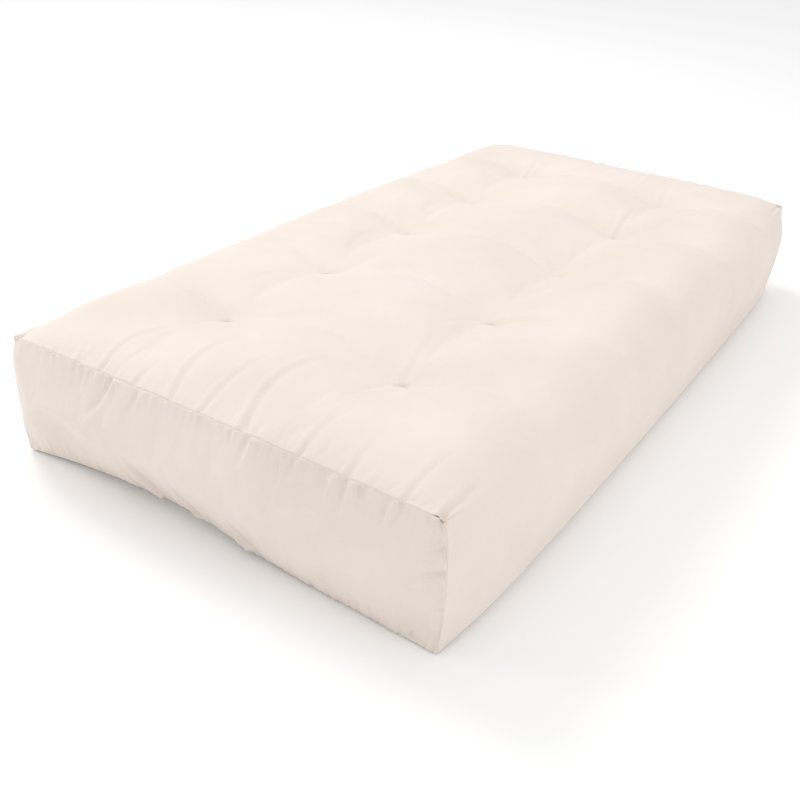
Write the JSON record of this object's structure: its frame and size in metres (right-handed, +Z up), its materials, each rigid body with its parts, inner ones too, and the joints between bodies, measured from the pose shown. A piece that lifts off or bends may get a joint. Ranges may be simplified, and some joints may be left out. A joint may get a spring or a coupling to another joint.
{
  "type": "futon mattress",
  "caption": "Twin-size tufted futon mattress with a boxed cotton casing over layered cotton batting and foam, for a futon frame, platform or floor.",
  "frame": {"origin": "on the floor, under the middle of the mattress", "axes": "+Z up, +Y along the length towards the rear end, +X across the width"},
  "size_m": [0.99, 1.9042, 0.2916],
  "materials": {
    "casing_cloth": "matte",
    "cotton_batting": "matte",
    "foam": "matte",
    "tufting_twine": "matte"
  },
  "bodies": {
    "root": {"casing_wrap": "casing_cloth", "end_panel_front": "casing_cloth", "end_panel_rear": "casing_cloth", "top_batting_outer": "cotton_batting", "top_batting_inner": "cotton_batting", "foam_sheet_top": "foam", "core_batting_upper": "cotton_batting", "core_batting_lower": "cotton_batting", "foam_sheet_bottom": "foam", "base_batting_inner": "cotton_batting", "base_batting_outer": "cotton_batting", "tuft_cord_left_1": "tufting_twine", "tuft_cord_left_2": "tufting_twine", "tuft_cord_left_3": "tufting_twine", "tuft_cord_left_4": "tufting_twine", "tuft_cord_left_5": "tufting_twine", "tuft_cord_right_1": "tufting_twine", "tuft_cord_right_2": "tufting_twine", "tuft_cord_right_3": "tufting_twine", "tuft_cord_right_4": "tufting_twine", "tuft_cord_right_5": "tufting_twine"}
  },
  "joints": []
}
